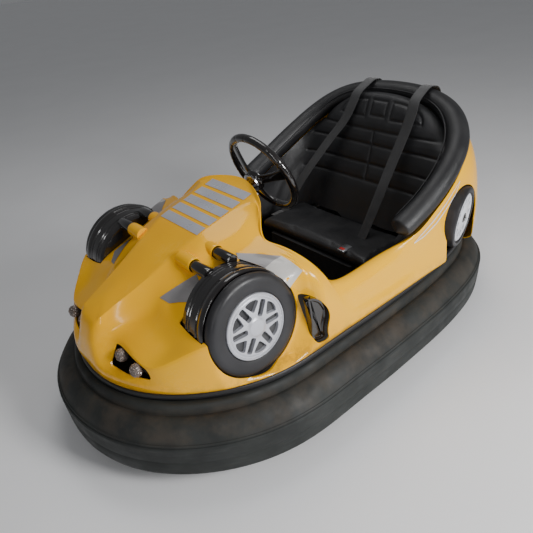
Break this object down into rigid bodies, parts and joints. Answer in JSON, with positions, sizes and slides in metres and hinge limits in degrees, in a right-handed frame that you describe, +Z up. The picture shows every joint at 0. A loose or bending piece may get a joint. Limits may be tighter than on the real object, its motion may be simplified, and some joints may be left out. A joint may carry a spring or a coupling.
{
  "type": "bumper car",
  "caption": "Fairground bumper car: rubber-ringed chassis, moulded open body with dummy wheels, padded bucket seat and a steered drive wheel under the nose.",
  "frame": {"origin": "on the floor under the middle of the bumper ring", "axes": "-Y is forward, +X is the car's left, +Z is up"},
  "size_m": [1.1726, 1.95, 0.922],
  "materials": {
    "yellow_gelcoat": "glossy",
    "bumper_rubber": "matt",
    "leatherette": "satin",
    "webbing": "woven",
    "gloss_black": "glossy",
    "dummy_tyre": "satin",
    "wheel_rubber": "matt",
    "silver_plastic": "satin",
    "white_plastic": "satin",
    "frame_paint": "satin",
    "chrome": "polished",
    "lamp_lens": "cut glass look",
    "cast_metal": "cast",
    "buckle_steel": "brushed"
  },
  "bodies": {
    "car": {"accelerator_pedal": "cast_metal", "axle_bracket_left": "frame_paint", "axle_bracket_right": "frame_paint", "battery": "cast_metal", "belt_buckle": "buckle_steel", "body_shell": "yellow_gelcoat", "bumper_rail": "frame_paint", "bumper_tyre": "bumper_rubber", "chassis_frame": "frame_paint", "drive_well": "frame_paint", "floor_pan": "frame_paint", "front_hubcap_left": "silver_plastic", "front_hubcap_right": "silver_plastic", "front_tyre_left": "dummy_tyre", "front_tyre_right": "dummy_tyre", "hem_trim": "leatherette", "lamp_housing_left": "gloss_black", "lamp_housing_right": "gloss_black", "lamp_inner_left": "lamp_lens", "lamp_inner_right": "lamp_lens", "lamp_outer_left": "lamp_lens", "lamp_outer_right": "lamp_lens", "rear_hubcap_left": "white_plastic", "rear_hubcap_right": "white_plastic", "rear_tyre_left": "dummy_tyre", "rear_tyre_right": "dummy_tyre", "rim_pad": "leatherette", "seat_base": "leatherette", "seat_cushion": "leatherette", "seat_tub": "leatherette", "shoulder_belt_left": "webbing", "shoulder_belt_right": "webbing", "side_vent_left": "gloss_black", "side_vent_right": "gloss_black", "steering_head": "cast_metal", "wheel_guard_left": "gloss_black", "wheel_guard_right": "gloss_black"},
    "steering": {"steering_wheel": "gloss_black", "steering_column": "chrome"},
    "drive_unit": {"drive_fork": "frame_paint", "drive_motor": "cast_metal"},
    "drive_wheel": {"drive_tyre": "wheel_rubber", "drive_hub": "cast_metal"},
    "rear_wheel_left": {"rear_wheel_left": "wheel_rubber"},
    "rear_wheel_right": {"rear_wheel_right": "wheel_rubber"}
  },
  "joints": [
    {"name": "steering_turn", "type": "hinge", "parent": "car", "child": "steering", "pos_m": [0, -0.067, 0.757], "axis": [0, 0.9272, 0.3746], "range_deg": [-180, 180]},
    {"name": "drive_yaw", "type": "hinge", "parent": "car", "child": "drive_unit", "pos_m": [0, -0.5, 0.11], "axis": [0, 0, 1], "range_deg": [-180, 180]},
    {"name": "drive_roll", "type": "hinge", "parent": "drive_unit", "child": "drive_wheel", "pos_m": [0, -0.5, 0.11], "axis": [1, 0, 0], "continuous": true},
    {"name": "rear_left_roll", "type": "hinge", "parent": "car", "child": "rear_wheel_left", "pos_m": [0.292, 0.5, 0.1], "axis": [1, 0, 0], "continuous": true},
    {"name": "rear_right_roll", "type": "hinge", "parent": "car", "child": "rear_wheel_right", "pos_m": [-0.292, 0.5, 0.1], "axis": [1, 0, 0], "continuous": true}
  ],
  "couplings": [
    {"joint": "steering_turn", "follows": "drive_yaw", "ratio": 1}
  ]
}
